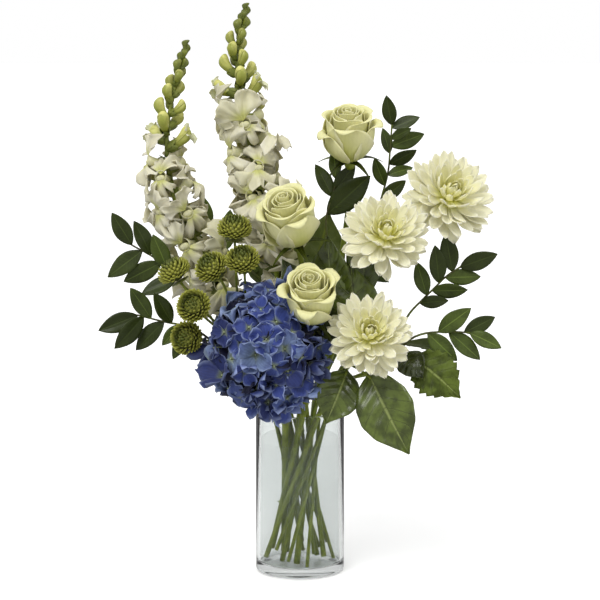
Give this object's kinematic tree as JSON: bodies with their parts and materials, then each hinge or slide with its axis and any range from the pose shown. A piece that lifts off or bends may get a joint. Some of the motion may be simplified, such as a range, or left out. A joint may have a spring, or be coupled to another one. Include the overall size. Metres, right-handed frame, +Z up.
{
  "type": "flower bouquet in a vase",
  "caption": "Mixed bouquet in a water-filled glass cylinder: blue hydrangea, cream roses, white chrysanthemums and snapdragons, green button flowers and dark leaves.",
  "frame": {"origin": "centre of the underside of the vase", "axes": "+Z up along the vase's axis, -Y towards the front of the bouquet, +X to the right as seen from the front"},
  "size_m": [0.444, 0.2679, 0.6382],
  "materials": {
    "glass": "clear polished glass",
    "water": "clear water",
    "stem": "smooth green stem",
    "hydrangea": "matt blue sepals, violet and greenish in places",
    "rose": "satin cream petals",
    "mum": "satin white rays, yellow green at the middle",
    "button": "matt lime green florets",
    "snapdragon": "matt white petals",
    "bud": "matt yellow green buds",
    "huckleberry": "dark glossy leaf",
    "salal": "green satin leaf with a paler rib"
  },
  "bodies": {
    "root": {"vase": "glass", "hydrangea_stem": "stem", "rose_left_stem": "stem", "rose_top_stem": "stem", "rose_low_stem": "stem", "mum_right_stem": "stem", "mum_middle_stem": "stem", "mum_low_stem": "stem", "snapdragon_left_stem": "stem", "snapdragon_right_stem": "stem", "button_stems": "stem", "rose_left_bloom": "rose", "rose_top_bloom": "rose", "rose_low_bloom": "rose", "mum_right_bloom": "mum", "mum_middle_bloom": "mum", "mum_low_bloom": "mum", "hydrangea_head": "hydrangea", "button_head_1": "button", "button_head_2": "button", "button_head_3": "button", "button_head_4": "button", "button_head_5": "button", "button_head_6": "button", "snapdragon_left_buds": "bud", "snapdragon_left_flowers": "snapdragon", "snapdragon_right_buds": "bud", "snapdragon_right_flowers": "snapdragon", "huckleberry_left": "huckleberry", "huckleberry_right": "huckleberry", "huckleberry_top": "huckleberry", "huckleberry_back": "huckleberry", "salal_front": "salal", "salal_right": "salal", "salal_back": "salal", "water": "water"}
  },
  "joints": []
}
